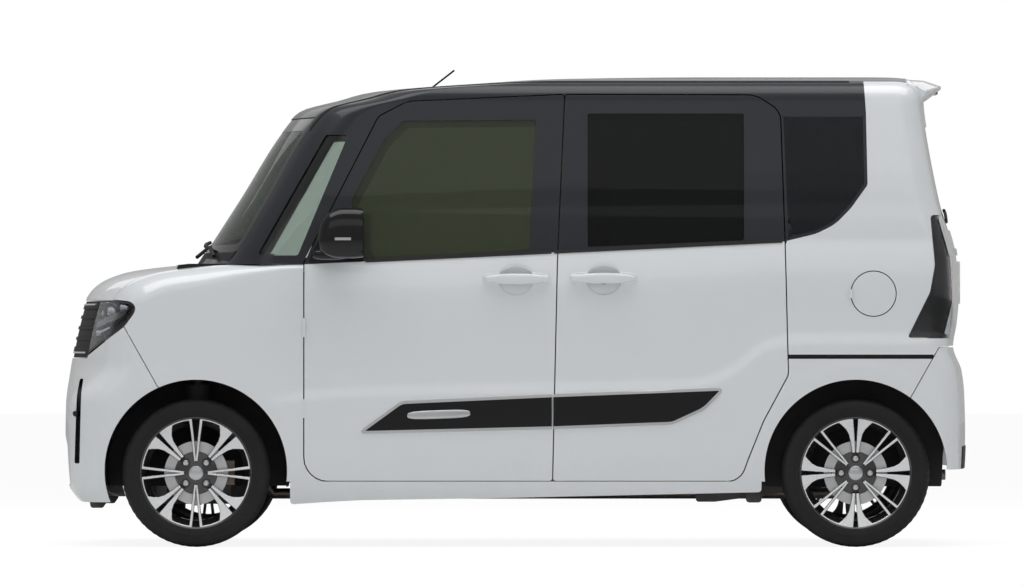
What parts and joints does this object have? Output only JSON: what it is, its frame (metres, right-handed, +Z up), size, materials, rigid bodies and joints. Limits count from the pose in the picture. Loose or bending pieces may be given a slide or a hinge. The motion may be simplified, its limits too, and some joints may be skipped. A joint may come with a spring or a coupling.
{
  "type": "kei car",
  "caption": "Small tall-bodied family car with a short bonnet, hinged front doors, sliding rear doors, a lifting tailgate and alloy wheels.",
  "frame": {"origin": "on the ground, in the middle of the overall length and width", "axes": "+X forward, +Y to the car's left, +Z up"},
  "size_m": [3.3948, 1.785, 1.7549],
  "materials": {
    "white_paint": "pearl white gloss",
    "black_paint": "gloss black",
    "clear_glass": "clear, faint green tint",
    "dark_glass": "dark privacy tint",
    "gloss_black": "gloss black",
    "black_plastic": "matt, fine grain",
    "headlamp": "clear lens over dark housing",
    "tail_lamp": "smoked red lens",
    "dash_plastic": "matt, grained",
    "seat_fabric": "woven",
    "floor_paint": "matt dark",
    "engine_alloy": "cast",
    "chassis_black": "satin black",
    "steel": "satin",
    "exhaust_steel": "dull",
    "cast_iron": "as cast",
    "wheel_alloy": "machined face with gloss black",
    "tyre_rubber": "matt"
  },
  "bodies": {
    "body": {"arch_liners": "black_plastic", "body_sides": "white_paint", "cowl_panel": "black_plastic", "dashboard": "dash_plastic", "engine_block": "engine_alloy", "exhaust": "exhaust_steel", "floor_pan": "floor_paint", "front_bumper": "white_paint", "front_cradle": "chassis_black", "front_pillars": "black_paint", "front_seats": "seat_fabric", "front_struts": "steel", "front_wings": "white_paint", "fuel_tank": "chassis_black", "grille": "gloss_black", "headlamps": "headlamp", "hinge_pins": "steel", "rear_axle": "chassis_black", "rear_bumper": "white_paint", "rear_seat": "seat_fabric", "roof_panel": "black_paint", "side_glass": "dark_glass", "sliding_door_handles": "white_paint", "sliding_doors": "white_paint", "steering_wheel": "dash_plastic", "tail_lamps": "tail_lamp", "windscreen": "clear_glass"},
    "bonnet": {"bonnet": "white_paint"},
    "door_left": {"front_door_left": "white_paint", "front_door_glass_left": "dark_glass", "door_mirror_left": "gloss_black", "front_door_handle_left": "white_paint"},
    "door_right": {"front_door_right": "white_paint", "front_door_glass_right": "dark_glass", "door_mirror_right": "gloss_black", "front_door_handle_right": "white_paint"},
    "tailgate": {"tailgate": "white_paint", "tailgate_glass": "dark_glass"},
    "fuel_lid": {"fuel_lid": "white_paint"},
    "knuckle_left": {"knuckle_left": "cast_iron"},
    "knuckle_right": {"knuckle_right": "cast_iron"},
    "wheel_front_left": {"wheel_front_left": "wheel_alloy", "tyre_front_left": "tyre_rubber"},
    "wheel_front_right": {"wheel_front_right": "wheel_alloy", "tyre_front_right": "tyre_rubber"},
    "wheel_rear_left": {"wheel_rear_left": "wheel_alloy", "tyre_rear_left": "tyre_rubber"},
    "wheel_rear_right": {"wheel_rear_right": "wheel_alloy", "tyre_rear_right": "tyre_rubber"}
  },
  "joints": [
    {"name": "bonnet_hinge", "type": "hinge", "parent": "body", "child": "bonnet", "pos_m": [1.2645, 0, 1.04453], "axis": [0, -1, 0], "range_deg": [0, 60]},
    {"name": "front_door_left_hinge", "type": "hinge", "parent": "body", "child": "door_left", "pos_m": [0.7805, 0.7345, 0.5], "axis": [0, 0, -1], "range_deg": [0, 65]},
    {"name": "front_door_right_hinge", "type": "hinge", "parent": "body", "child": "door_right", "pos_m": [0.7805, -0.7345, 0.5], "axis": [0, 0, 1], "range_deg": [0, 65]},
    {"name": "tailgate_hinge", "type": "hinge", "parent": "body", "child": "tailgate", "pos_m": [-1.4655, 0, 1.74767], "axis": [0, 1, 0], "range_deg": [0, 85]},
    {"name": "fuel_lid_hinge", "type": "hinge", "parent": "body", "child": "fuel_lid", "pos_m": [-1.25, 0.7323, 0.941], "axis": [0, 0, -1], "range_deg": [0, 90]},
    {"name": "steering_left", "type": "hinge", "parent": "body", "child": "knuckle_left", "pos_m": [1.1855, 0.62, 0.275], "axis": [0, 0, 1], "range_deg": [-35, 35]},
    {"name": "steering_right", "type": "hinge", "parent": "body", "child": "knuckle_right", "pos_m": [1.1855, -0.62, 0.275], "axis": [0, 0, 1], "range_deg": [-35, 35]},
    {"name": "wheel_front_left_spin", "type": "hinge", "parent": "knuckle_left", "child": "wheel_front_left", "pos_m": [1.1855, 0.65, 0.275], "axis": [0, 1, 0], "continuous": true},
    {"name": "wheel_front_right_spin", "type": "hinge", "parent": "knuckle_right", "child": "wheel_front_right", "pos_m": [1.1855, -0.65, 0.275], "axis": [0, 1, 0], "continuous": true},
    {"name": "wheel_rear_left_spin", "type": "hinge", "parent": "body", "child": "wheel_rear_left", "pos_m": [-1.2645, 0.65, 0.275], "axis": [0, 1, 0], "continuous": true},
    {"name": "wheel_rear_right_spin", "type": "hinge", "parent": "body", "child": "wheel_rear_right", "pos_m": [-1.2645, -0.65, 0.275], "axis": [0, 1, 0], "continuous": true}
  ],
  "couplings": [
    {"joint": "steering_right", "follows": "steering_left", "ratio": 1}
  ]
}
